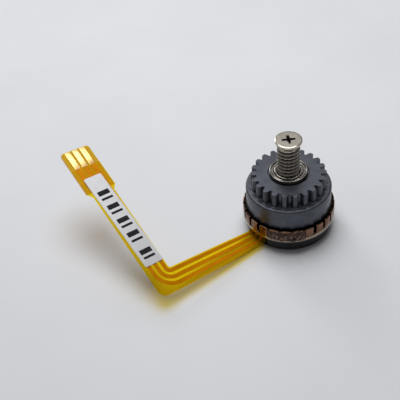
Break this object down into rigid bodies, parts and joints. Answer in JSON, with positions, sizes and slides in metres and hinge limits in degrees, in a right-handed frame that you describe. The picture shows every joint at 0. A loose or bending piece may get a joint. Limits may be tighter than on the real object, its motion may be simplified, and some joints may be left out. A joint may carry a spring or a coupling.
{
  "type": "ultrasonic gear motor",
  "caption": "Small ultrasonic gear motor: comb-toothed bronze stator, dark rotor with output gear, ball bearing, centre screw and an L-shaped flexible printed tail.",
  "frame": {"origin": "on the motor axis, at the underside of the base plate", "axes": "+Z along the motor axis towards the output gear and screw head; +X is the way the tail's far end points away from, so the tail lies on the -X side"},
  "size_m": [0.0309, 0.0185, 0.0121],
  "materials": {
    "base_black": "satin black oxide",
    "post_steel": "turned",
    "felt_grey": "felt",
    "piezo_ceramic": "fired, silvered electrodes",
    "stator_bronze": "polished phosphor bronze",
    "adhesive_clear": "cured glossy adhesive",
    "rotor_anodised": "dark blue-grey hard anodised, satin",
    "lining_dark": "filled polymer",
    "rubber_black": "matt",
    "spring_steel": "drawn wire",
    "bearing_steel": "ground and polished",
    "cage_brass": "stamped",
    "screw_nickel": "nickel plated",
    "polyimide_amber": "glossy amber film",
    "trace_copper": "etched copper",
    "contact_gold": "gold plated",
    "label_paper": "matt white"
  },
  "bodies": {
    "stator": {"base_plate": "base_black", "center_post": "post_steel", "felt_damper": "felt_grey", "piezo_ring": "piezo_ceramic", "stator_ring": "stator_bronze", "stator_nut": "post_steel", "stator_adhesive": "adhesive_clear", "flex_film": "polyimide_amber", "flex_traces": "trace_copper", "flex_contacts": "contact_gold", "flex_coverlay": "polyimide_amber", "flex_stiffener": "polyimide_amber", "flex_label": "label_paper"},
    "rotor": {"rotor_gear": "rotor_anodised", "rotor_lining": "lining_dark", "damping_ring": "rubber_black", "preload_spring": "spring_steel"},
    "bearing_outer": {"bearing_outer_race": "bearing_steel", "bearing_shield_top": "bearing_steel", "bearing_shield_bottom": "bearing_steel"},
    "bearing_inner": {"bearing_inner_race": "bearing_steel"},
    "cage": {"bearing_balls": "bearing_steel", "ball_cage": "cage_brass"},
    "screw": {"mount_screw": "screw_nickel"}
  },
  "joints": [
    {"name": "rotor_spin", "type": "hinge", "parent": "stator", "child": "rotor", "pos_m": [0, 0, 0.0045], "axis": [0, 0, 1], "continuous": true},
    {"name": "bearing_preload", "type": "slide", "parent": "stator", "child": "bearing_inner", "axis": [0, 0, 1], "range_m": [-0.00034, 0], "stiffness_N_per_m": 500},
    {"name": "outer_race_preload", "type": "slide", "parent": "rotor", "child": "bearing_outer", "axis": [0, 0, 1], "range_m": [-0.00034, 0], "stiffness_N_per_m": 500, "deforming": ["preload_spring"]},
    {"name": "cage_spin", "type": "hinge", "parent": "bearing_inner", "child": "cage", "pos_m": [0, 0, 0.00712], "axis": [0, 0, 1], "continuous": true},
    {"name": "screw_slide", "type": "slide", "parent": "bearing_inner", "child": "screw", "axis": [0, 0, 1], "range_m": [-0.00345, 0.007]}
  ],
  "couplings": [
    {"joint": "cage_spin", "follows": "rotor_spin", "ratio": 0.5776},
    {"joint": "outer_race_preload", "follows": "bearing_preload", "ratio": 1}
  ]
}
